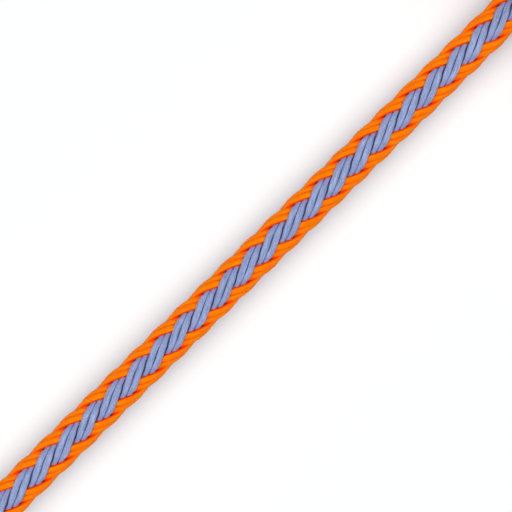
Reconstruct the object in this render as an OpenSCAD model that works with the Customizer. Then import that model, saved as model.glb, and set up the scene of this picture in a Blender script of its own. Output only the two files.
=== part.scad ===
// Braided kernmantle climbing rope: a straight stretch with its sheath, core and sealed
// end, and the rest of its length put away in a tied hank in line with it.
// Millimetres. The rope runs along +X and lies on the plane z = 0, the origin is at the
// bottom centre of the whole.

/* [Rope] */
// Diameter over the crests of the sheath
rope_d = 10; // [9:0.1:11]
// Straight stretch, from the cut end of the sheath to the hank
stretch_l = 207; // [150:1:260]

/* [Sheath] */
// Length in which a sheath strand winds once round the rope
braid_pitch = 48.3; // [40:0.1:60]
// Radial thickness of a sheath yarn
yarn_t = 1.0; // [0.9:0.01:1.02]
// Width of a sheath yarn, as an angle round the rope's axis, in degrees
yarn_angle = 24; // [20:0.5:24.5]
// Radial clearance where one yarn crosses another
crossing_gap = 0.28; // [0.26:0.01:0.4]
// Distance of the first blue crest from the cut end of the sheath
first_crest = 7.3; // [0:0.1:8]

/* [Core] */
// Diameter of one core cord
core_cord_d = 1.5; // [1.2:0.05:1.55]
// Clearance between two core cords
core_gap = 0.03; // [0.02:0.01:0.06]
// Diameter of the tracer yarn that lies in a groove between two core cords
tracer_d = 0.4; // [0.3:0.05:0.45]

/* [Ends] */
// Length of an end sleeve
sleeve_l = 13; // [8:0.5:20]
// Wall of an end sleeve
sleeve_wall = 0.25; // [0.2:0.05:0.5]
// Clearance between a sleeve and the rope
sleeve_gap = 0.05; // [0.03:0.01:0.1]
// Length of the fused tip past the cut end
tip_l = 3; // [1.5:0.1:4]

/* [Hank] */
// Length of the hank over its end folds
hank_l = 188; // [160:1:220]
// Radius of a fold, at the rope's axis
fold_r = 30; // [30:0.5:34]
// Clearance between two turns that lie on or beside each other
turn_gap = 0.6; // [0.5:0.1:1.2]
// Clearance in line between the end of the straight stretch and the hank's folds
lead_gap = 0.5; // [0.3:0.1:5]
// Straight run of rope past the tie, up to its far cut end
tail_l = 30; // [26:1:40]

/* [Tie] */
// Width of the tie strap
tie_w = 12; // [8:1:16]
// Thickness of the tie strap
tie_t = 1.5; // [1:0.1:2]
// Length of the strap's end that doubles over itself
tie_lap = 20; // [10:1:26]
// Clearance between the tie strap and the rope
tie_gap = 0.4; // [0.3:0.1:0.6]

/* [Hidden] */

// Counts
strands = 6;            // strands of each colour
turns = 4;              // layers of turns in the hank
yarn_sides = 5;
hank_sides = 6;
fold_steps = 8;         // lengths of tube round a fold
columns = 3;            // bands of each colour round the rope
fine = 32;              // facets of a round outline
core_sides = 24;
rim_steps = 4;          // facets of the rounded edge of a fused tip
lead_steps = 3;         // lengths of tube from the straight stretch to the hank's waist

// Heights and places along the rope
rope_r = rope_d / 2;
sleeve_r = rope_r + sleeve_gap + sleeve_wall;
axis_z = sleeve_r;
overall_l = tip_l + stretch_l + lead_gap + hank_l;
cut_x = tip_l - overall_l / 2;
join_x = cut_x + stretch_l;
reach_r = fold_r + rope_r;
near_fold_x = join_x + lead_gap + reach_r;
far_fold_x = join_x + lead_gap + hank_l - reach_r;
waist_x = (near_fold_x + far_fold_x) / 2;
flat_depth = rope_d / 10;
cut_over = 1;           // how far a cutting solid runs past what it cuts

// Sheath: two layers of yarns, each yarn changes layer between two yarns that cross it
layer_step = yarn_t + crossing_gap;
outer_r = rope_r - yarn_t / 2;
inner_r = outer_r - layer_step;
strand_step = 360 / strands;
yarn_step = strand_step / 2;
crest_end = 68;         // phase at which a crest ends, where a band's whole wave is 360
wave = [-crest_end, 0, crest_end, 180 - crest_end, 180 + crest_end];
crest_shift = yarn_step / 4;
end_margin = 0.5;       // least distance from a yarn's end face to its next ring

// Core: six cords round one
core_ring_r = core_cord_d + core_gap;
tracer_r = core_ring_r * cos(180 / strands) + sqrt(
    pow(core_cord_d / 2 + tracer_d / 2 + core_gap, 2) - pow(core_ring_r * sin(180 / strands), 2));

// Hank
turn_step = rope_d + turn_gap;
waist_y = turn_step / 2;
tie_lift = tie_t + tie_gap + rope_r - axis_z;
mid_lift = tie_lift / 2;

blue = "#8998C4";
orange = "#FF8200";
white = "#F2F0EA";
black = "#26282C";
amber = "#C9772B";

// A tube through rings of points, closed by its first and last ring. Its side faces are
// split along the diagonal that turns the same way as the tube does, which keeps them full
module skin(rings, hand = 1) {
    n = len(rings[0]);
    last = len(rings) - 1;
    points = [for (ring = rings) each ring];
    sides = [
        for (i = [0:last - 1], j = [0:n - 1])
            let (a = i * n + j, b = i * n + (j + 1) % n)
                each hand > 0
                    ? [[a, b, a + n], [b, b + n, a + n]]
                    : [[a, b, b + n], [a, b + n, a + n]]
    ];
    start = [for (j = [1:n - 2]) [0, j + 1, j]];
    end = [for (j = [1:n - 2]) [last * n, last * n + j, last * n + j + 1]];
    polyhedron(points = points, faces = concat(sides, start, end));
}

// ---- Sheath ----

// Radius of a yarn's middle: on a crest, in a trough, or on the way between them
function level(phase) =
    let (off = abs((phase % 360 + 540) % 360 - 180))
        off <= crest_end ? outer_r
        : off >= 180 - crest_end ? inner_r
        : outer_r - layer_step * (off - crest_end) / (180 - 2 * crest_end);

// Rings of one yarn. hand is 1 where it turns from +Z to +Y along the rope, -1 the other way
function yarn_rings(hand, start_angle, crest_angle) =
    let (
        turn = 360 / braid_pitch,
        lead = hand * columns * (start_angle - crest_angle) - columns * turn * first_crest,
        to_x = function(phase) (phase - lead) / (columns * turn),
        first = floor(lead / 360) - 1,
        last = ceil((lead + columns * turn * stretch_l) / 360) + 1,
        inside = [
            for (n = [first:last], p = wave)
                let (x = to_x(360 * n + p))
                    if (x > end_margin && x < stretch_l - end_margin) x
        ]
    )
    [
        for (x = concat([0], inside, [stretch_l]))
            let (
                r = level(lead + columns * turn * x),
                angle = start_angle + hand * turn * (x - first_crest)
            )
                [
                    for (k = [0:yarn_sides - 1])
                        let (
                            a = 90 + 360 * k / yarn_sides,
                            radius = r + yarn_t / 2 * sin(a),
                            at = angle - yarn_angle / 2 * cos(a)
                        )
                            [x, radius * sin(at), radius * cos(at)]
                ]
    ];

// Two yarns side by side, which the braider lays as one strand
module strand(hand, middle, crest) {
    translate([cut_x, 0, axis_z])
        for (side = [-1, 1])
            skin(yarn_rings(hand, middle - side * yarn_step / 2, crest - side * crest_shift), hand);
}

module blue_strand(i) {
    color(blue) strand(1, i * strand_step, 0);
}

module orange_strand(i) {
    color(orange) strand(-1, yarn_step + i * strand_step, strand_step);
}

// ---- Core ----

module core_line(d, r, angle) {
    translate([cut_x, r * sin(angle), axis_z + r * cos(angle)])
        rotate([0, 90, 0])
            cylinder(d = d, h = stretch_l, $fn = core_sides);
}

module core_cord(i) {
    color(white) core_line(core_cord_d, i == 0 ? 0 : core_ring_r, i * 360 / strands);
}

module tracer_yarn() {
    color(black) core_line(tracer_d, tracer_r, 180 / strands);
}

// ---- Ends, each drawn with the cut face at the origin and the rope on +X ----

module sleeve() {
    rotate([0, 90, 0])
        difference() {
            cylinder(r = sleeve_r, h = sleeve_l, $fn = fine);
            translate([0, 0, -cut_over])
                cylinder(r = rope_r + sleeve_gap, h = sleeve_l + 2 * cut_over, $fn = fine);
        }
}

// Sheath and core melted into one rounded button
module fused_tip() {
    edge_r = tip_l / 2;
    rim = [
        for (k = [0:rim_steps])
            let (a = 90 * k / rim_steps)
                [rope_r - edge_r + edge_r * cos(a), tip_l - edge_r + edge_r * sin(a)]
    ];
    rotate([0, -90, 0])
        rotate_extrude($fn = fine)
            polygon(concat([[0, 0], [rope_r, 0]], rim, [[0, tip_l]]));
}

module at_near_end() {
    translate([cut_x, 0, axis_z]) children();
}

module at_far_end() {
    translate([waist_x + tail_l, -waist_y, top_z]) rotate([0, 0, 180]) children();
}

module near_end_sleeve() {
    color(black) at_near_end() sleeve();
}

module near_end_tip() {
    color(amber) at_near_end() fused_tip();
}

module far_end_sleeve() {
    color(black) at_far_end() sleeve();
}

module far_end_tip() {
    color(amber) at_far_end() fused_tip();
}

// ---- Hank ----

top_z = axis_z + tie_lift + (turns - 1) * turn_step;

// A turn's plan: a fold runs on past the half circle by fold_lean, then each side bends
// back to the waist, where the tie holds the two sides together
run_half = (far_fold_x - near_fold_x) / 2;
back_r = (pow(run_half, 2) + pow(waist_y, 2) - pow(fold_r, 2)) / (2 * (fold_r - waist_y));
fold_lean = acos((waist_y + back_r) / (fold_r + back_r));
mid_x = back_r * sin(fold_lean / 2);
mid_y = waist_y + back_r * (1 - cos(fold_lean / 2));
fold_angles = [for (k = [-fold_steps / 2:fold_steps / 2]) k * (180 + 2 * fold_lean) / fold_steps];

function near_fold(z) =
    [for (a = fold_angles) [near_fold_x - fold_r * cos(a), -fold_r * sin(a), z]];

function far_fold(z) =
    [for (a = fold_angles) [far_fold_x + fold_r * cos(a), fold_r * sin(a), z]];

// Outer side of a turn, towards its far fold, which rises over the strap at the waist
function run_out(z) = [
    [waist_x - mid_x, -mid_y, z + mid_lift],
    [waist_x, -waist_y, z + tie_lift],
    [waist_x + mid_x, -mid_y, z + mid_lift]
];

// The way back, on which a turn climbs to the next layer
function climb(z, rise) = [
    [waist_x + mid_x, mid_y, z + rise / 4 + mid_lift],
    [waist_x, waist_y, z + rise / 2 + tie_lift],
    [waist_x - mid_x, mid_y, z + rise * 3 / 4 + mid_lift]
];

function layer_z(n) = axis_z + n * turn_step;

// The straight stretch runs in under the near folds and becomes the lowest turn, whose
// far fold sinks a little, because the hank stands on it and is cut flat there
lead_l = waist_x - join_x - rope_d;
run_in = concat(
    [[join_x, 0, axis_z], [join_x + rope_d, 0, axis_z]],
    [
        for (k = [1:lead_steps])
            [join_x + rope_d + lead_l * k / lead_steps,
                -waist_y * pow(sin(90 * k / lead_steps), 2),
                axis_z + tie_lift * pow(sin(90 * k / lead_steps), 2)]
    ],
    [[waist_x + mid_x, -mid_y, axis_z + mid_lift - flat_depth / 2]],
    far_fold(axis_z - flat_depth),
    climb(axis_z - flat_depth, turn_step + flat_depth)
);

function turn(n) = concat(
    near_fold(layer_z(n)), run_out(layer_z(n)), far_fold(layer_z(n)), climb(layer_z(n), turn_step)
);

// The last turn ends past the tie, on the turn below it
run_end = concat(
    near_fold(layer_z(turns - 1)),
    [
        [waist_x - mid_x, -mid_y, layer_z(turns - 1) + mid_lift],
        [waist_x, -waist_y, top_z],
        [waist_x + tail_l, -waist_y, top_z]
    ]
);

hank_path = concat(run_in, [for (n = [1:turns - 2]) each turn(n)], run_end);

function unit(v) = v / norm(v);

// A ring square to the path: level sides, so that turns lie flat on each other
function ring(i) =
    let (
        last = len(hank_path) - 1,
        ahead = unit(hank_path[min(i + 1, last)] - hank_path[i == last ? i - 1 : i]),
        behind = unit(hank_path[max(i, 1)] - hank_path[max(i - 1, 0)]),
        way = unit(ahead + behind),
        level_side = unit(cross(way, [0, 0, 1])),
        up = cross(level_side, way)
    )
    [
        for (k = [0:hank_sides - 1])
            let (a = 360 * k / hank_sides)
                hank_path[i] + rope_r * (cos(a) * level_side + sin(a) * up)
    ];

module rope_hank() {
    color(blue)
        intersection() {
            skin([for (i = [0:len(hank_path) - 1]) ring(i)]);
            translate([join_x, -2 * reach_r, 0]) cube([2 * hank_l, 4 * reach_r, 2 * top_z]);
        }
}

// ---- Tie ----

// Outline of the bundle at its waist, seen along the rope, with some clearance. Under the
// strap's edges the turns lie a little wider than at its middle, and the climbing side
// changes height
edge_share = tie_w / 2 / mid_x;
edge_y = waist_y + (mid_y - waist_y) * edge_share;
edge_rise = turn_step / 4 * edge_share;
climb_low = axis_z + tie_lift + (turn_step - flat_depth) / 2;
climb_high = top_z - turn_step / 2;

// The strap's doubled end lies on its outer face, and is set into it by half its thickness
lap_y = -edge_y - rope_r - tie_gap - 2 * tie_t;
lap_t = tie_t + tie_t / 2;

module waist_outline(clearance) {
    hull() {
        for (z = [axis_z + tie_lift, top_z])
            translate([-edge_y, z]) circle(rope_r + clearance, $fn = fine);
        for (z = [climb_low - edge_rise, climb_high + edge_rise])
            translate([edge_y, z]) circle(rope_r + clearance, $fn = fine);
    }
}

module hank_tie() {
    color(black)
        translate([waist_x - tie_w / 2, 0, 0])
            rotate([90, 0, 90])
                linear_extrude(tie_w)
                    union() {
                        difference() {
                            waist_outline(tie_gap + tie_t);
                            waist_outline(tie_gap);
                        }
                        translate([lap_y, (top_z - tie_lap) / 2])
                            square([lap_t, tie_lap]);
                    }
}

// ---- Checks ----

function total(v, i = 0) = i < len(v) ? v[i] + total(v, i + 1) : 0;

// Least gap of the hank's tube to itself, measured on points a few millimetres apart
// along its middle. Points nearer than one_turn along the tube are on the same turn
step = 2.5;
one_turn = 3 * rope_d;
dense = [
    for (i = [1:len(hank_path) - 1])
        let (a = hank_path[i - 1], b = hank_path[i], n = ceil(norm(b - a) / step))
            for (k = [0:n - 1]) a + (b - a) * k / n
];
skip = ceil(one_turn / step);
distances = [
    for (i = [0:len(dense) - 1])
        min([for (j = [i + skip:1:len(dense) - 1]) norm(dense[i] - dense[j]), 1000])
];
path_l = total([for (i = [1:len(hank_path) - 1]) norm(hank_path[i] - hank_path[i - 1])]);
echo(rope_length = stretch_l + path_l, rings = len(hank_path));
echo(least_gap_of_hank = min(distances) - rope_d);

blue_strand(0);  // blue_strand_1
blue_strand(1);  // blue_strand_2
blue_strand(2);  // blue_strand_3
blue_strand(3);  // blue_strand_4
blue_strand(4);  // blue_strand_5
blue_strand(5);  // blue_strand_6
orange_strand(0);  // orange_strand_1
orange_strand(1);  // orange_strand_2
orange_strand(2);  // orange_strand_3
orange_strand(3);  // orange_strand_4
orange_strand(4);  // orange_strand_5
orange_strand(5);  // orange_strand_6
core_cord(0);  // core_cord_1
core_cord(1);  // core_cord_2
core_cord(2);  // core_cord_3
core_cord(3);  // core_cord_4
core_cord(4);  // core_cord_5
core_cord(5);  // core_cord_6
core_cord(6);  // core_cord_7
tracer_yarn();
near_end_sleeve();
near_end_tip();
far_end_sleeve();
far_end_tip();
rope_hank();
hank_tie();
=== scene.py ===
import math

import bpy
import numpy as np
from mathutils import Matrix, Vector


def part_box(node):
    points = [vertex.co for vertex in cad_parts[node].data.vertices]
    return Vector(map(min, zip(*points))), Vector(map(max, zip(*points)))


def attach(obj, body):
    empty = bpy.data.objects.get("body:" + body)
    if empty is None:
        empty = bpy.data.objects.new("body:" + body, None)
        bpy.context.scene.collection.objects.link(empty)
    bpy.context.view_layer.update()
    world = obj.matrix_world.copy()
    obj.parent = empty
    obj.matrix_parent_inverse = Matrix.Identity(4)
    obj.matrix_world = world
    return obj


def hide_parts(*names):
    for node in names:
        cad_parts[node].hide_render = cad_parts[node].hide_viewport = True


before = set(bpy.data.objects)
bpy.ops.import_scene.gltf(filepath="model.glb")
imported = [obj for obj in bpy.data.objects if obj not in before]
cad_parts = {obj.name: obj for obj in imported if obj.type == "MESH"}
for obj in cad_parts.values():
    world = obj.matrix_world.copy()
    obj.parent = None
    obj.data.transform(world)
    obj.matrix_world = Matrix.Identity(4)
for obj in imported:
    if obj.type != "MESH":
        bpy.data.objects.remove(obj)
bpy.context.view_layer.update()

# ---------------------------------------------------------------------------
# Sizes, in metres and radians. The rope runs along +X, as in the frame.
# ---------------------------------------------------------------------------
MM = 0.001
ROPE_D = 10 * MM
ROPE_R = ROPE_D / 2
PITCH = 48.3 * MM  # a strand winds once round the rope in this length
FIRST_CREST = 7.3 * MM  # of blue strand 1, from the cut end
STRANDS = 6  # of each colour
BANDS = 3  # of crests, of each colour round the rope

FOLD_R = 30 * MM
TURN_STEP = 10.6 * MM
LEAD_GAP = 0.5 * MM  # between the straight stretch's end and the near folds
TURNS = 4
TAIL_L = 30 * MM
FLAT_DEPTH = ROPE_D / 10  # that the lowest far fold is cut flat, so its axis is as much lower
TIE_T = 1.5 * MM
TIE_LAP = 20 * MM
TIE_GAP = 0.4 * MM

CORE_LOW, CORE_HIGH = (np.array(corner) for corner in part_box("core_cord_1"))
HANK_LOW, HANK_HIGH = (np.array(corner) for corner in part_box("rope_hank"))
TIE_LOW, TIE_HIGH = (np.array(corner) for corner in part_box("hank_tie"))
CUT_X, JOIN_X = CORE_LOW[0], CORE_HIGH[0]
AXIS_Z = (CORE_LOW[2] + CORE_HIGH[2]) / 2
NEAR_FOLD_X = JOIN_X + LEAD_GAP + FOLD_R + ROPE_R
FAR_FOLD_X = HANK_HIGH[0] - FOLD_R - ROPE_R
WAIST_X = (TIE_LOW[0] + TIE_HIGH[0]) / 2
WAIST_Y = TURN_STEP / 2
TIE_LIFT = TIE_T + TIE_GAP + ROPE_R - AXIS_Z
TOP_Z = AXIS_Z + TIE_LIFT + (TURNS - 1) * TURN_STEP

# Place on the rope that the picture is centred on, the frame's width there, and
# the angle at which the rope crosses it
VIEW_X = CUT_X + 107.04 * MM
VIEW_Y = 0.32 * MM
VIEW_W = 130.6 * MM
ROPE_TILT = math.radians(44.29)


# ---------------------------------------------------------------------------
# Camera
# ---------------------------------------------------------------------------
def make_camera():
    data = bpy.data.cameras.new("camera")
    data.lens, data.sensor_width = 100, 36
    distance = VIEW_W * data.lens / data.sensor_width
    camera = bpy.data.objects.new("camera", data)
    camera.location = (VIEW_X, VIEW_Y, AXIS_Z + distance)
    camera.rotation_euler = (0, 0, -ROPE_TILT)
    data.clip_start = 0.01
    bpy.context.scene.collection.objects.link(camera)
    bpy.context.scene.camera = camera


# ---------------------------------------------------------------------------
# Route of the rope's axis: the straight stretch, then the turns of the hank
# ---------------------------------------------------------------------------
STEP = 1 * MM  # between points
STRAIGHT_POINTS = 400
FLOOR_GAP = 0.02 * MM  # the least height of a yarn over the floor


def between(a, b, length):
    """Values from a to b, without b, for points a step apart on that length."""
    return np.linspace(a, b, max(2, int(length / STEP)), endpoint=False)


def hank_plan():
    """The arc that bends a turn back to the waist: its radius and its angle."""
    half = (FAR_FOLD_X - NEAR_FOLD_X) / 2
    back_r = (half**2 + WAIST_Y**2 - FOLD_R**2) / (2 * (FOLD_R - WAIST_Y))
    lean = math.acos((WAIST_Y + back_r) / (FOLD_R + back_r))
    return back_r, lean


def route():
    """Points along the rope's axis, from its cut end to the far end on the hank."""
    back_r, lean = hank_plan()
    half_turn = math.pi / 2 + lean
    parts = []

    def add(x, y, z):
        parts.append(np.column_stack(np.broadcast_arrays(x, y, z)).astype(float))

    def fold(centre_x, way, z):
        """Round the outside of a fold: way 1 is the far fold, -1 the near one."""
        a = between(-half_turn, half_turn, 2 * half_turn * FOLD_R)
        add(centre_x + way * FOLD_R * np.cos(a), way * FOLD_R * np.sin(a), z)

    def side(way, z, rise=0.0, sink=0.0, to_waist=True, from_waist=True):
        """One side of a turn: way 1 runs towards the far fold, on the -Y side."""
        a = between(lean, 0, back_r * lean)
        x = back_r * np.sin(a)
        y = WAIST_Y + back_r * (1 - np.cos(a))
        share = 1 - a / lean  # 0 at the fold, 1 at the waist
        up = TIE_LIFT * np.sin(np.pi / 2 * share) ** 2
        climb = rise * share / 2
        if to_waist:
            add(WAIST_X - way * x, -way * y, z + up + climb)
        if from_waist:
            x, y, share, up, climb = (v[::-1] for v in (x, y, share, up, climb))
            add(WAIST_X + way * x, -way * y, z + up + rise - climb - sink * (1 - share))

    start_x = JOIN_X + ROPE_D
    add(np.linspace(CUT_X, start_x, STRAIGHT_POINTS, endpoint=False), 0, AXIS_Z)
    lead = WAIST_X - start_x
    share = between(0, 1, lead)
    ease = np.sin(np.pi / 2 * share) ** 2
    add(start_x + lead * share, -WAIST_Y * ease, AXIS_Z + TIE_LIFT * ease)
    side(1, AXIS_Z, sink=FLAT_DEPTH, to_waist=False)
    fold(FAR_FOLD_X, 1, AXIS_Z - FLAT_DEPTH)
    side(-1, AXIS_Z - FLAT_DEPTH, rise=TURN_STEP + FLAT_DEPTH)
    for n in range(1, TURNS - 1):
        z = AXIS_Z + n * TURN_STEP
        fold(NEAR_FOLD_X, -1, z)
        side(1, z)
        fold(FAR_FOLD_X, 1, z)
        side(-1, z, rise=TURN_STEP)
    z = AXIS_Z + (TURNS - 1) * TURN_STEP
    fold(NEAR_FOLD_X, -1, z)
    side(1, z, from_waist=False)
    tail = np.linspace(WAIST_X, WAIST_X + TAIL_L, round(TAIL_L / STEP) + 1)
    add(tail, -WAIST_Y, TOP_Z)
    return np.concatenate(parts)


class Route:
    """Points along the rope's axis by distance, with a frame that doesn't twist."""

    def __init__(self, points):
        hops = np.linalg.norm(np.diff(points, axis=0), axis=1)
        self.points = points[np.r_[True, hops > STEP / 100]]
        hops = np.linalg.norm(np.diff(self.points, axis=0), axis=1)
        self.at = np.r_[0, np.cumsum(hops)]
        self.length = self.at[-1]
        way = np.gradient(self.points, self.at, axis=0)
        way /= np.linalg.norm(way, axis=1)[:, None]
        up = np.empty_like(way)
        up[0] = (0, 0, 1)
        for i in range(1, len(way)):
            u = up[i - 1] - way[i] * (up[i - 1] @ way[i])
            up[i] = u / np.linalg.norm(u)
        self.up = up
        self.side = np.cross(up, way)  # +Y where the rope runs along +X

    def frame_at(self, s):
        """Middle, side and up at distances s along the rope."""
        return [
            np.stack([np.interp(s, self.at, v[:, k]) for k in range(3)], -1)
            for v in (self.points, self.side, self.up)
        ]

    def around(self, s, radius, angle):
        """Points at distances s, where angle 0 is up and a quarter turn is the side."""
        middle, side, up = self.frame_at(s)
        out = np.sin(angle)[..., None] * side[:, None] + np.cos(angle)[..., None] * up[:, None]
        rings = middle[:, None] + radius[..., None] * out
        rings[..., 2] = np.maximum(rings[..., 2], FLOOR_GAP)
        return rings


# ---------------------------------------------------------------------------
# Meshes
# ---------------------------------------------------------------------------
STRIP_GAP = 0.4 * MM


def unroll(mesh, tubes):
    """A map for baking: every tube cut open and laid out in rows, then its two ends."""
    spans, girths = [], []
    for rings in tubes:
        hops = np.linalg.norm(np.diff(rings.mean(axis=1), axis=0), axis=1)
        spans.append(np.r_[0, np.cumsum(hops)])
        around = np.linalg.norm(rings - np.roll(rings, 1, axis=1), axis=2).sum(axis=1)
        girths.append(around.mean())
    width = math.sqrt(sum(at[-1] * (g + STRIP_GAP) for at, g in zip(spans, girths)))
    corners, base, widest = [], 0.0, width
    for rings, at, girth in zip(tubes, spans, girths):
        sides = rings.shape[1]
        row = (at[:-1] // width).astype(int)
        start = at[np.searchsorted(row, row)]  # where each ring's row begins
        low, high = at[:-1] - start, at[1:] - start
        bottom = base + row * (girth + STRIP_GAP)
        u = np.repeat(np.stack([low, low, high, high], -1)[:, None], sides, axis=1)
        side = np.arange(sides)
        v = (side[:, None] + np.array([0, 1, 1, 0])) * girth / sides
        v = bottom[:, None, None] + v
        corners.append(np.stack([u, v], -1).reshape(-1, 2))
        base = bottom[-1] + girth + STRIP_GAP
        turn = 2 * np.pi * side / sides
        end_r = girth / (2 * np.pi)
        for order, centre in ((-1, end_r), (1, 3 * end_r + STRIP_GAP)):
            x = centre + end_r * np.cos(turn)
            y = base + end_r + end_r * np.sin(turn)
            corners.append(np.column_stack([x, y])[::order])
        base += 2 * end_r + STRIP_GAP
        widest = max(widest, high.max())
    layer = mesh.uv_layers.new(name="OFBake")
    uv = np.concatenate(corners) / max(widest, base)
    layer.data.foreach_set("uv", uv.astype(np.float32).ravel())


def make_piece(name, tubes, material, notes=None, closed=True, unrolled=False):
    """A piece of tubes, each an array of ring x side x 3. notes go with its points."""
    verts, faces, start = [], [], 0
    for rings in tubes:
        count, sides = rings.shape[:2]
        base = start + np.arange(count - 1)[:, None] * sides
        k = np.arange(sides)[None, :]
        n = (k + 1) % sides
        quads = np.stack([base + k, base + n, base + sides + n, base + sides + k], -1)
        faces += quads.reshape(-1, 4).tolist()
        if closed:
            last = start + (count - 1) * sides
            faces.append(list(range(start, start + sides))[::-1])
            faces.append(list(range(last, last + sides)))
        verts.append(rings.reshape(-1, 3))
        start += count * sides
    mesh = bpy.data.meshes.new(name)
    mesh.from_pydata(np.concatenate(verts).tolist(), [], faces)
    mesh.polygons.foreach_set("use_smooth", [True] * len(mesh.polygons))
    for key, values in (notes or {}).items():
        layer = mesh.attributes.new(key, "FLOAT_VECTOR", "POINT")
        layer.data.foreach_set("vector", np.concatenate(values).astype(np.float32).ravel())
    mesh.materials.append(material)
    if unrolled:
        unroll(mesh, tubes)
    mesh.update()
    piece = bpy.data.objects.new(name, mesh)
    bpy.context.scene.collection.objects.link(piece)
    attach(piece, "root")
    return piece


def dress(node, material):
    """Give a node of the frame its material."""
    piece = bpy.data.objects[node]
    if not piece.material_slots:
        piece.data.materials.append(material)
    for slot in piece.material_slots:
        slot.material = material


def full_turn(sides):
    return np.linspace(0, 2 * np.pi, sides, endpoint=False)


# ---------------------------------------------------------------------------
# Material nodes
# ---------------------------------------------------------------------------
def rgb(r, g, b):
    """A colour as it is seen, 0 to 255, in the linear light that shaders use."""
    return tuple(
        c / 12.92 if c <= 0.04045 else ((c + 0.055) / 1.055) ** 2.4
        for c in (r / 255, g / 255, b / 255)
    ) + (1,)


class Look:
    """A material and short calls for its nodes."""

    def __init__(self, name, roughness=0.6, specular=0.3, sheen=0.0):
        self.material = bpy.data.materials.new(name)
        self.material.use_nodes = True
        self.tree = self.material.node_tree
        self.shader = self.tree.nodes["Principled BSDF"]
        self.set("Roughness", roughness)
        self.set("Specular IOR Level", specular)
        self.set("Sheen Weight", sheen)
        self.set("Sheen Roughness", 0.4)

    def put(self, socket, value):
        if isinstance(value, bpy.types.NodeSocket):
            self.tree.links.new(value, socket)
        else:
            socket.default_value = value

    def set(self, name, value):
        self.put(self.shader.inputs[name], value)

    def calc(self, operation, *values):
        node = self.tree.nodes.new("ShaderNodeMath")
        node.operation = operation
        for socket, value in zip(node.inputs, values):
            self.put(socket, value)
        return node.outputs[0]

    def times(self, a, b):
        return self.calc("MULTIPLY", a, b)

    def plus(self, a, b):
        return self.calc("ADD", a, b)

    def size(self, a):
        return self.calc("ABSOLUTE", a)

    def split(self, vector):
        node = self.tree.nodes.new("ShaderNodeSeparateXYZ")
        self.tree.links.new(vector, node.inputs[0])
        return node.outputs

    def attribute(self, name):
        """The three numbers that a mesh carries under that name."""
        node = self.tree.nodes.new("ShaderNodeAttribute")
        node.attribute_name = name
        return self.split(node.outputs["Vector"])

    def place(self):
        """X, Y and Z of the object's own coordinates, in metres."""
        node = self.tree.nodes.new("ShaderNodeTexCoord")
        return self.split(node.outputs["Object"])

    def vector(self, x, y, z=0.0):
        node = self.tree.nodes.new("ShaderNodeCombineXYZ")
        for socket, value in zip(node.inputs, (x, y, z)):
            self.put(socket, value)
        return node.outputs[0]

    def noise(self, vector, scale=1.0, detail=2.0, rough=0.5):
        node = self.tree.nodes.new("ShaderNodeTexNoise")
        self.put(node.inputs["Vector"], vector)
        node.inputs["Scale"].default_value = scale
        node.inputs["Detail"].default_value = detail
        node.inputs["Roughness"].default_value = rough
        return node.outputs[0]

    def fibres(self, along, across, detail):
        """Noise drawn out along X, with that many waves to a metre along and across."""
        x, y, z = self.place()
        scaled = self.vector(self.times(x, along), self.times(y, across), self.times(z, across))
        return self.noise(scaled, detail=detail)

    def smooth(self, value, low, high, to_low=0.0, to_high=1.0):
        """to_low where value is under low, to_high where it is over high."""
        node = self.tree.nodes.new("ShaderNodeMapRange")
        node.interpolation_type = "SMOOTHSTEP"
        numbers = {"From Min": low, "From Max": high, "To Min": to_low, "To Max": to_high}
        self.put(node.inputs["Value"], value)
        for name, number in numbers.items():
            node.inputs[name].default_value = number
        return node.outputs["Result"]

    def mix(self, share, a, b):
        node = self.tree.nodes.new("ShaderNodeMix")
        node.data_type = "RGBA"
        colour_a, colour_b = (s for s in node.inputs if s.type == "RGBA")
        self.put(node.inputs["Factor"], share)
        self.put(colour_a, a)
        self.put(colour_b, b)
        return next(s for s in node.outputs if s.type == "RGBA")

    def bump(self, height, distance, strength=1.0):
        node = self.tree.nodes.new("ShaderNodeBump")
        node.inputs["Strength"].default_value = strength
        node.inputs["Distance"].default_value = distance
        self.put(node.inputs["Height"], height)
        self.set("Normal", node.outputs["Normal"])


def seen_rays(tree):
    """1 for rays from the camera, mirrors and glass, 0 for those that light things."""
    path = tree.nodes.new("ShaderNodeLightPath")
    total = path.outputs["Is Camera Ray"]
    for name in ("Is Glossy Ray", "Is Transmission Ray"):
        node = tree.nodes.new("ShaderNodeMath")
        node.operation = "MAXIMUM"
        tree.links.new(total, node.inputs[0])
        tree.links.new(path.outputs[name], node.inputs[1])
        total = node.outputs[0]
    return total


# ---------------------------------------------------------------------------
# Sheath: twelve strands of two yarns, over two and under two, along the whole rope
# ---------------------------------------------------------------------------
BLUE, ORANGE = 1, -1  # which way the strands of a colour wind
YARN_UP, YARN_DOWN = 0.84 * MM, 0.6 * MM  # from a yarn's middle, rounder outwards
LAYER_STEP = 1.3 * MM  # from a crest down to a trough
OUTER_R = ROPE_R - YARN_UP  # of a yarn's middle on a crest
YARN_W = {BLUE: 1.65 * MM, ORANGE: 1.7 * MM}
FLATNESS = 1.84  # of a crest: lower is flatter
# How much faster than an even helix a strand winds, in waves of one, two and three
# to a crest and trough: it is slow on the crest and as it dives, and fast in the trough
SWAY = (-0.397, 0.265, -0.136)
STAGGER = math.radians(10.6)  # between the crests of a strand's two yarns and its own
NARROWING = {BLUE: 0.15, ORANGE: 0.03}  # of a yarn where it is covered
ROUNDNESS = {BLUE: 0.97, ORANGE: 0.86}  # of a section: 1 is an ellipse, less is fuller
PROUD = 0.28  # how much more the orange strands stand out where the colours meet
SPREAD = 0.15  # of the strands on top; those underneath lie as much closer
COVER_LEVEL = 0.7  # a yarn narrows from this level down to minus this
RING_MARGIN = 0.4 * MM  # between a yarn's end and its next ring
SEED_STEP = 97.3  # along the noise, from one yarn's streaks to the next one's

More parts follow.
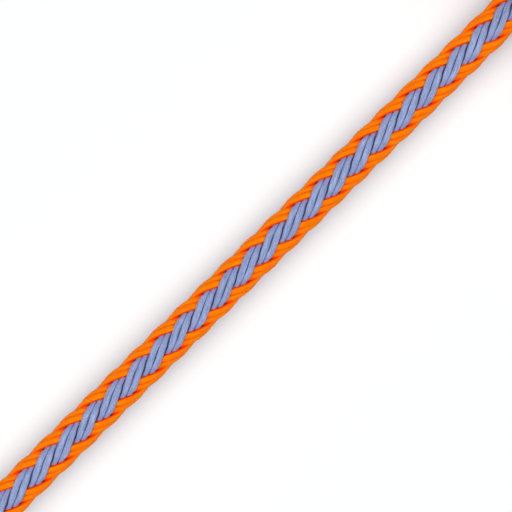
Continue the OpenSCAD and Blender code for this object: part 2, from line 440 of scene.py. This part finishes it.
# Rings of a yarn, by its wave's phase, and points of its section, all in degrees:
# finer in the straight stretch than in the hank
FINE_PHASES = (-150, -122, -100, -80, -55, -28, 0, 28, 55, 80, 100, 122, 150, 180)
PLAIN_PHASES = (-108, -70, -32, 32, 70, 108, 180)
FINE_SECTION = np.radians((90, 64, 38, 12, -20, -90, 200, 168, 142, 116))
PLAIN_SECTION = np.radians((90, 42, -8, -90, 188, 138))


def yarn_look(name, base, light, dark, seam_shade, edge, trough_shade, seam_shade_from, trough_shade_from):
    """Satin filament yarn: streaks along it, and other colours painted as shade in its seams,
    dives and troughs.
    """
    look = Look(name, roughness=0.55, specular=0.08, sheen=0.3)
    look.set("Sheen Tint", light)
    look.set("Specular Tint", light)
    across, along, level = look.attribute("yarn")
    slant = look.plus(look.times(along, 0.35), look.times(across, 0.5))
    streaks = look.noise(look.vector(look.times(across, 5.5), slant), detail=3.0, rough=0.6)
    grain = look.noise(look.vector(look.times(across, 9), look.times(along, 2.2)))
    cloud = look.noise(look.vector(across, look.times(along, 0.12)), detail=1.0)
    tone = look.plus(look.times(streaks, 0.65), look.times(grain, 0.35))
    colour = look.mix(look.smooth(tone, 0.48, 0.62), base, light)
    colour = look.mix(look.smooth(tone, 0.5, 0.38), colour, dark)
    colour = look.mix(look.smooth(cloud, 0.35, 0.7, to_high=0.35), colour, dark)
    # Painted shade where the yarn dives under its neighbours: the edge colour, redder on
    # orange, lilac on blue as painted bounced orange light
    dive_shade = look.smooth(level, 0.3, -0.5)
    colour = look.mix(look.times(dive_shade, 0.75), colour, edge)
    # Painted shade in the seams along the yarn's sides, wider where it dives
    beside = look.plus(look.size(across), look.times(dive_shade, 0.14))
    colour = look.mix(look.smooth(beside, seam_shade_from, 0.97), colour, seam_shade)
    # Painted shade in the troughs under other strands: dark slate on orange, orange-red on blue
    # as painted bounced orange light
    colour = look.mix(look.smooth(level, trough_shade_from, trough_shade_from - 0.4), colour, trough_shade)
    look.set("Base Color", colour)
    look.set("Roughness", look.smooth(grain, 0.3, 0.7, 0.45, 0.68))
    look.bump(tone, 0.12 * MM, 0.6)
    return look.material


def blue_look():
    return yarn_look(
        "blue_yarn",
        base=rgb(146, 162, 207),
        light=rgb(176, 190, 230),
        dark=rgb(116, 132, 172),
        # Painted shade: a dark slate seam, a lilac edge where the yarn dives and an orange-red
        # trough, the last two also painting bounced orange light
        seam_shade=rgb(34, 48, 74),
        edge=rgb(140, 144, 192),
        trough_shade=rgb(190, 60, 10),
        seam_shade_from=0.64,
        trough_shade_from=-0.6,
    )


def orange_look():
    return yarn_look(
        "orange_yarn",
        base=rgb(255, 126, 0),
        light=rgb(255, 148, 4),
        dark=rgb(255, 108, 0),
        # Painted shade: a red seam, a red edge where the yarn dives and a dark slate trough
        seam_shade=rgb(255, 60, 6),
        edge=rgb(255, 74, 4),
        trough_shade=rgb(42, 46, 62),
        seam_shade_from=0.8,
        trough_shade_from=-0.42,
    )


def wave(phase):
    """1 along a crest, -1 along a trough."""
    c = np.cos(phase)
    return c / np.sqrt(c * c + FLATNESS**2) * math.sqrt(1 + FLATNESS**2)


def covered(level):
    """0 on a crest, 1 in a trough, with a smooth change between."""
    share = np.clip((COVER_LEVEL - level) / (2 * COVER_LEVEL), 0, 1)
    return share * share * (3 - 2 * share)


def ring_places(first, last, hand, start, crest, phases):
    """Distances along the rope at which a yarn's wave has one of the phases."""
    lead = hand * (crest - start) * PITCH / (2 * math.pi)
    begin = math.floor((first - FIRST_CREST - lead) / PITCH * BANDS) - 1
    waves = int((last - first) / PITCH * BANDS) + 5
    places = [
        FIRST_CREST + lead + (n + phase / 360) * PITCH / BANDS
        for n in range(begin, begin + waves)
        for phase in phases
    ]
    return sorted(s for s in places if first + RING_MARGIN < s < last - RING_MARGIN)


def yarn(rope, first, last, hand, middle, aside, band, crest, phases, section, seed):
    """Rings of one yarn, and for each point its place across, along and its level.

    The yarn lies aside from its strand's middle. Its own crest is staggered against
    its strand's, which is at the angle band.
    """
    start = middle + aside
    s = np.array([first, *ring_places(first, last, hand, start, crest, phases), last])
    turn = 2 * math.pi / PITCH
    even = start + hand * turn * (s - FIRST_CREST)
    own_phase = BANDS * (even - crest)
    level = wave(own_phase) - hand * PROUD * np.sin(own_phase) ** 2
    phase = BANDS * (even - band)
    waves = list(enumerate(SWAY, 1))
    angle = even + sum(share / n * np.sin(n * phase) for n, share in waves) / BANDS
    rate = 1 + sum(share * np.cos(n * phase) for n, share in waves)
    middle_r = OUTER_R - LAYER_STEP * (1 - level) / 2
    narrowing = NARROWING[hand] * covered(level)
    angle -= aside * narrowing
    width = YARN_W[hand] * (1 - narrowing)
    half = width / 2 / middle_r * np.sqrt(1 + (middle_r * rate * turn) ** 2)
    across, upward = (
        np.sign(part) * np.abs(part) ** ROUNDNESS[hand]
        for part in (np.cos(section), np.sin(section))
    )
    radius = middle_r[:, None] + np.where(upward > 0, YARN_UP, YARN_DOWN) * upward
    around = angle[:, None] - half[:, None] * across
    rings = rope.around(s, radius, around + SPREAD * np.sin(around))
    along = s[:, None] / MM + seed * SEED_STEP
    notes = np.stack(np.broadcast_arrays(across, along, level[:, None]), -1)
    return rings, notes.reshape(-1, 3)


def strand(name, rope, hand, middle, crest, material, seed):
    """Two yarns side by side, each in one tube to the hank and one through it."""
    tubes, notes = [], []
    straight = JOIN_X - CUT_X
    for k, way in enumerate((-1, 1)):
        aside = -way * math.pi / STRANDS / 2
        own_crest = crest - way * STAGGER
        for first, last, phases, section in (
            (0, straight, FINE_PHASES, FINE_SECTION),
            (straight, rope.length, PLAIN_PHASES, PLAIN_SECTION),
        ):
            rings, note = yarn(
                rope,
                first,
                last,
                hand,
                middle,
                aside,
                crest,
                own_crest,
                phases,
                section,
                seed * 2 + k,
            )
            tubes.append(rings)
            notes.append(note)
    return make_piece(name, tubes, material, {"yarn": notes}, unrolled=True)


def make_sheath(rope):
    turn = 2 * math.pi / STRANDS
    strands = []
    for colour, hand, material, shift, crest in (
        ("blue", BLUE, blue_look(), 0, 0),
        ("orange", ORANGE, orange_look(), 0.5, turn),
    ):
        for i in range(STRANDS):
            piece = strand(
                f"sheath_{colour}_{i + 1}",
                rope,
                hand,
                turn * (i + shift),
                crest,
                material,
                len(strands),
            )
            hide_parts(f"{colour}_strand_{i + 1}")
            strands.append(piece)
    return strands


# ---------------------------------------------------------------------------
# Core: the seven cords of the frame in the straight stretch, one tube in the hank
# ---------------------------------------------------------------------------
CORE_CORDS = 7
HANK_CORE_R = 2.3 * MM
HANK_CORE_GAP = 0.5 * MM  # behind the seven cords' ends
HANK_CORE_RINGS, HANK_CORE_SIDES = 360, 8


def core_look():
    look = Look("core_yarn", roughness=0.7, sheen=0.2)
    x, y, _ = look.place()
    ply = look.calc("SINE", look.plus(look.times(x, 3000), look.times(y, 4000)))
    tone = look.plus(look.times(ply, 0.2), look.fibres(900, 6000, detail=3.0))
    share = look.smooth(tone, 0.3, 0.7)
    look.set("Base Color", look.mix(share, rgb(214, 208, 192), rgb(246, 244, 238)))
    look.bump(tone, 0.1 * MM)
    return look.material


def tracer_look():
    look = Look("tracer_yarn", roughness=0.7, sheen=0.1)
    fibre = look.fibres(1500, 9000, detail=2.0)
    share = look.smooth(fibre, 0.3, 0.7)
    look.set("Base Color", look.mix(share, rgb(22, 23, 26), rgb(52, 54, 60)))
    look.bump(fibre, 0.05 * MM)
    return look.material


def make_core(rope):
    core = core_look()
    for i in range(CORE_CORDS):
        dress(f"core_cord_{i + 1}", core)
    dress("tracer_yarn", tracer_look())
    start = JOIN_X - CUT_X + HANK_CORE_GAP
    s = np.linspace(start, rope.length, HANK_CORE_RINGS)
    angle = np.broadcast_to(full_turn(HANK_CORE_SIDES), (HANK_CORE_RINGS, HANK_CORE_SIDES))
    rings = rope.around(s, np.full(angle.shape, HANK_CORE_R), angle)
    piece = make_piece("hank_core", [rings], core)
    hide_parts("rope_hank")
    return piece


# ---------------------------------------------------------------------------
# Ends: the sleeve of shrunk film, and sheath and core melted by the hot cut
# ---------------------------------------------------------------------------
END_SIDES = 72
SLEEVE_L = 13 * MM
SLEEVE_BORE_R = 5.02 * MM
SLEEVE_EDGE = np.array([0, 0.12, 0.35]) * MM  # depths of the rounded edge's rings
SLEEVE_EDGE_R = np.array([5.08, 5.19, 5.24]) * MM  # and their radii
SLEEVE_INSET = 0.8 * MM  # of the evenly spaced rings between its edges
SLEEVE_RINGS = 26
SLEEVE_RELIEF = 0.045 * MM
TIP_L = 3 * MM
TIP_EDGE = 1.5 * MM  # radius of the button's rounded edge
TIP_EDGE_RINGS = 12
DIMPLE_R = np.array([2.8, 2.1, 1.4, 0.7, 0]) * MM
DIMPLE_DEPTH = np.array([0.05, 0.18, 0.3, 0.38, 0.4]) * MM
TIP_LUMPS = 0.12 * MM


def braid_relief(s, angle):
    """The sheath's waves as the film over them shows them, from -1 to 1."""
    even = 2 * np.pi * (s - FIRST_CREST) / PITCH
    blue = np.cos(STRANDS * (angle - even))
    orange = np.cos(STRANDS * (angle + even) - np.pi)
    return 0.5 * (blue + orange)


def sleeve_look():
    look = Look("sleeve_film", roughness=0.35, specular=0.5)
    cloud = look.noise(look.vector(*look.place()), 700, 3.0)
    scuff = look.fibres(500, 3500, detail=3.0)
    share = look.smooth(scuff, 0.4, 0.75)
    look.set("Base Color", look.mix(share, rgb(27, 28, 31), rgb(48, 50, 54)))
    look.set("Roughness", look.smooth(cloud, 0.3, 0.7, 0.25, 0.5))
    look.bump(cloud, 0.15 * MM, 0.5)
    return look.material


def make_sleeve(end, rope, at_start, material):
    """A shrunk tube with rounded edges: its outside from the cut end in, then its bore."""
    even = np.linspace(SLEEVE_INSET, SLEEVE_L - SLEEVE_INSET, SLEEVE_RINGS)
    depth = np.r_[SLEEVE_EDGE, even, SLEEVE_L - SLEEVE_EDGE[::-1], SLEEVE_L, 0]
    outer = np.r_[SLEEVE_EDGE_R, np.full(SLEEVE_RINGS, SLEEVE_EDGE_R[-1]), SLEEVE_EDGE_R[::-1]]
    s = depth if at_start else rope.length - depth
    angle = full_turn(END_SIDES)
    relief = braid_relief(s[:-2, None], angle) * SLEEVE_RELIEF
    relief[[0, -1]] = 0
    bore = np.full((2, END_SIDES), SLEEVE_BORE_R)
    radius = np.concatenate([outer[:, None] + relief, bore])
    rings = rope.around(s, radius, np.broadcast_to(angle, radius.shape))
    rings = np.concatenate([rings, rings[:1]])
    if not at_start:
        rings = rings[::-1]
    piece = make_piece(f"{end}_sleeve_film", [rings], material, closed=False)
    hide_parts(f"{end}_end_sleeve")
    return piece


def tip_look():
    look = Look("fused_nylon", roughness=0.28, specular=0.5)
    share, c, s = look.attribute("tip")
    around = look.vector(c, s, share)
    lobes = look.noise(around, 3.2, 3.0, 0.6)
    fine = look.noise(around, 14, 3.0)
    colour = look.mix(look.smooth(lobes, 0.42, 0.56), rgb(112, 116, 140), rgb(214, 104, 20))
    colour = look.mix(look.smooth(share, 0.75, 0.3), colour, rgb(196, 164, 118))
    colour = look.mix(look.smooth(fine, 0.52, 0.74, to_high=0.8), colour, rgb(70, 44, 30))
    look.set("Base Color", colour)
    look.set("Roughness", look.smooth(fine, 0.3, 0.7, 0.2, 0.42))
    look.bump(fine, 0.15 * MM, 0.6)
    return look.material


def make_tip(end, rope, at_start, material):
    """A rounded button with a shallow dimple and lumps where the yarns ran together."""
    a = np.linspace(0, np.pi / 2, TIP_EDGE_RINGS)
    radius = np.r_[ROPE_R, ROPE_R - TIP_EDGE + TIP_EDGE * np.cos(a), DIMPLE_R][:, None]
    height = np.r_[0, TIP_L - TIP_EDGE + TIP_EDGE * np.sin(a), TIP_L - DIMPLE_DEPTH][:, None]
    angle = full_turn(END_SIDES)
    large = np.cos(6 * angle) * np.sin(0.9 * np.pi * radius / ROPE_R)
    small = np.cos(11 * angle + 1.3) * np.sin(1.7 * np.pi * radius / ROPE_R)
    dents = np.minimum(TIP_LUMPS * (large + 0.6 * small), 0)
    r = radius + 0.6 * dents
    h = height + dents
    h[:3] = height[:3]
    if at_start:
        r, h = r[::-1], h[::-1]
    end_at = np.array([0 if at_start else rope.length])
    middle, side, up = (v[0] for v in rope.frame_at(end_at))
    way = np.cross(side, up) * (-1 if at_start else 1)
    out = np.sin(angle)[:, None] * side + np.cos(angle)[:, None] * up
    rings = middle + way * h[..., None] + r[..., None] * out
    notes = np.stack(np.broadcast_arrays(r / ROPE_R, np.cos(angle), np.sin(angle)), -1)
    notes = {"tip": [notes.reshape(-1, 3)]}
    piece = make_piece(f"{end}_tip_melted", [rings], material, notes)
    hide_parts(f"{end}_end_tip")
    return piece


# ---------------------------------------------------------------------------
# Tie: a hook-and-loop strap round the waist of the hank
# ---------------------------------------------------------------------------
STRAP_W = TIE_HIGH[0] - TIE_LOW[0]
STRAP_T = 1.4 * MM
CLIMB_PLAY = 0.7 * MM  # that a climbing turn rises or falls under half the strap's width
STRAP_RIPPLE = 0.05 * MM
STRAP_RINGS, LAP_RINGS = 150, 22
LAP_INSET = 0.02 * MM  # of the lap's outside from the tie's box


def waist_outline(clearance, count):
    """Points round the bundle at its waist, as (y, z), their normals and distances."""
    back_r, lean = hank_plan()
    spread = WAIST_Y + back_r * (1 - math.cos(math.asin(STRAP_W / 2 / back_r)))
    low = AXIS_Z + TIE_LIFT
    climb_low = low + (TURN_STEP - FLAT_DEPTH) / 2 - CLIMB_PLAY
    climb_high = TOP_Z - TURN_STEP / 2 + CLIMB_PLAY
    corners = np.array(
        [[-spread, low], [spread, climb_low], [spread, climb_high], [-spread, TOP_Z]]
    )
    turn = np.linspace(0, 2 * np.pi, 721)
    normals = np.column_stack([np.cos(turn), np.sin(turn)])
    pick = np.argmax(normals @ corners.T, axis=1)
    points = corners[pick] + (ROPE_R + clearance) * normals
    hops = np.r_[0, np.cumsum(np.linalg.norm(np.diff(points, axis=0), axis=1))]
    at = np.linspace(0, hops[-1], count, endpoint=False)
    even = np.column_stack([np.interp(at, hops, points[:, k]) for k in range(2)])
    way = np.roll(even, -1, axis=0) - np.roll(even, 1, axis=0)
    way /= np.linalg.norm(way, axis=1)[:, None]
    return even, np.column_stack([way[:, 1], -way[:, 0]]), at


def strap_section():
    """A flat section with rounded edges, as (across, out)."""
    edge = STRAP_T / 2
    flat_w = STRAP_W / 2 - edge
    a = np.radians(np.linspace(-90, 90, 7))
    right = np.column_stack([flat_w + edge * np.cos(a), edge * np.sin(a)])
    flat = np.linspace(flat_w, -flat_w, 9)[1:-1]
    top = np.column_stack([flat, np.full(len(flat), edge)])
    return np.concatenate([right, top, -right, -top])


def strap_look():
    look = Look("tie_webbing", roughness=0.85, specular=0.2, sheen=0.35)
    across, along, out = look.attribute("strap")
    pile = look.noise(look.vector(across, along, out), 3.2, 3.0, 0.6)
    weft = look.calc("SINE", look.times(along, 7.0))
    tone = look.plus(look.times(weft, 0.08), pile)
    colour = look.mix(look.smooth(tone, 0.35, 0.68), rgb(24, 25, 28), rgb(58, 60, 66))
    beside = look.size(across)
    colour = look.mix(look.smooth(beside, 4.9, 5.2), colour, rgb(34, 36, 40))
    off_line = look.size(look.calc("SUBTRACT", beside, 4.4))
    on_line = look.calc("LESS_THAN", off_line, 0.2)
    stitch = look.calc("GREATER_THAN", look.calc("SINE", look.times(along, 3.6)), -0.3)
    stitches = look.times(on_line, stitch)
    look.set("Base Color", look.mix(stitches, colour, rgb(90, 92, 98)))
    look.bump(look.plus(tone, look.times(stitches, 0.4)), 0.3 * MM)
    return look.material


def make_tie(material):
    """The strap's ring round the bundle, and its lap on the -Y side."""
    section = strap_section()
    tubes, notes = [], []

    def sweep(path, outward, along, end_rings=()):
        """The section along a path in the waist's plane. end_rings close its ends in."""
        rings = np.empty((len(path), len(section), 3))
        rings[..., 0] = WAIST_X + section[:, 0]
        rings[..., 1:] = path[:, None] + outward[:, None] * section[None, :, 1:]
        for i, thick, wide in end_rings:
            rings[i, :, 1:] = path[i] + outward[i] * section[:, 1:] * thick
            rings[i, :, 0] = WAIST_X + section[:, 0] * wide
        note = np.broadcast_arrays(section[:, 0], along[:, None], section[:, 1])
        tubes.append(rings)
        notes.append(np.stack(note, -1).reshape(-1, 3) / MM)

    middle, out, at = waist_outline(TIE_GAP + TIE_T / 2, STRAP_RINGS)
    path = middle + out * (STRAP_RIPPLE * np.sin(at / MM * 0.9))[:, None]
    sweep(*(np.concatenate([v, v[:1]])[::-1] for v in (path, out, at)))
    z = TOP_Z / 2 + np.linspace(-TIE_LAP / 2, TIE_LAP / 2, LAP_RINGS)
    lap_y = TIE_LOW[1] + STRAP_T / 2 + LAP_INSET
    lap = np.column_stack([np.full(len(z), lap_y), z])
    lap_out = np.tile([-1.0, 0.0], (len(z), 1))
    sweep(lap, lap_out, z, ((0, 0.35, 0.86), (1, 0.8, 0.97), (-2, 0.8, 0.97), (-1, 0.35, 0.86)))
    piece = make_piece("tie_strap", tubes, material, {"strap": notes})
    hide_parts("hank_tie")
    return piece


# ---------------------------------------------------------------------------
# Floor and light
# ---------------------------------------------------------------------------
LAMP_SIZE = 2.8
LAMP_POWER = 44.8
WORLD_LIGHT = 0.03
WHITE_FROM, WHITE_FULL = 0.3, 0.75  # from the origin, where the floor fades to pure white


def make_stage():
    """A pale floor that takes the shadow near the rope and is seen white far off."""
    bpy.ops.mesh.primitive_plane_add(size=4, location=(0, 0, 0))
    floor = bpy.context.object
    floor.name = "floor"
    look = Look("floor", roughness=0.9, specular=0.0)
    look.set("Base Color", (0.906, 0.922, 0.92, 1))
    tree = look.tree
    white = tree.nodes.new("ShaderNodeEmission")
    white.inputs["Color"].default_value = (1, 1, 1, 1)
    x, y, _ = look.place()
    far = look.calc("SQRT", look.plus(look.times(x, x), look.times(y, y)))
    share = look.times(seen_rays(tree), look.smooth(far, WHITE_FROM, WHITE_FULL))
    mix = tree.nodes.new("ShaderNodeMixShader")
    tree.links.new(share, mix.inputs[0])
    tree.links.new(look.shader.outputs[0], mix.inputs[1])
    tree.links.new(white.outputs[0], mix.inputs[2])
    tree.links.new(mix.outputs[0], tree.nodes["Material Output"].inputs["Surface"])
    floor.data.materials.append(look.material)


def make_lamp():
    data = bpy.data.lights.new("softbox", "AREA")
    data.shape, data.size = "SQUARE", LAMP_SIZE
    data.energy = LAMP_POWER
    lamp = bpy.data.objects.new("softbox", data)
    lamp.location = (-0.3, 0, 1.3)
    lamp.visible_camera = False
    bpy.context.scene.collection.objects.link(lamp)


def make_world():
    """White where it is seen, and a faint light from all round."""
    world = bpy.data.worlds.new("world")
    world.use_nodes = True
    tree = world.node_tree
    background = tree.nodes["Background"]
    background.inputs["Color"].default_value = (1, 1, 1, 1)
    strength = tree.nodes.new("ShaderNodeMapRange")
    strength.inputs["To Min"].default_value = WORLD_LIGHT
    strength.inputs["To Max"].default_value = 1.0
    tree.links.new(seen_rays(tree), strength.inputs["Value"])
    tree.links.new(strength.outputs[0], background.inputs["Strength"])
    bpy.context.scene.world = world


# ---------------------------------------------------------------------------
# Scene
# ---------------------------------------------------------------------------
make_camera()
rope = Route(route())
strands = make_sheath(rope)
hank_core = make_core(rope)
film, melted = sleeve_look(), tip_look()
for end, at_start in (("near", True), ("far", False)):
    make_sleeve(end, rope, at_start, film)
    make_tip(end, rope, at_start, melted)
tie = make_tie(strap_look())
make_stage()
make_lamp()
make_world()
bpy.context.scene.view_settings.view_transform = "Standard"
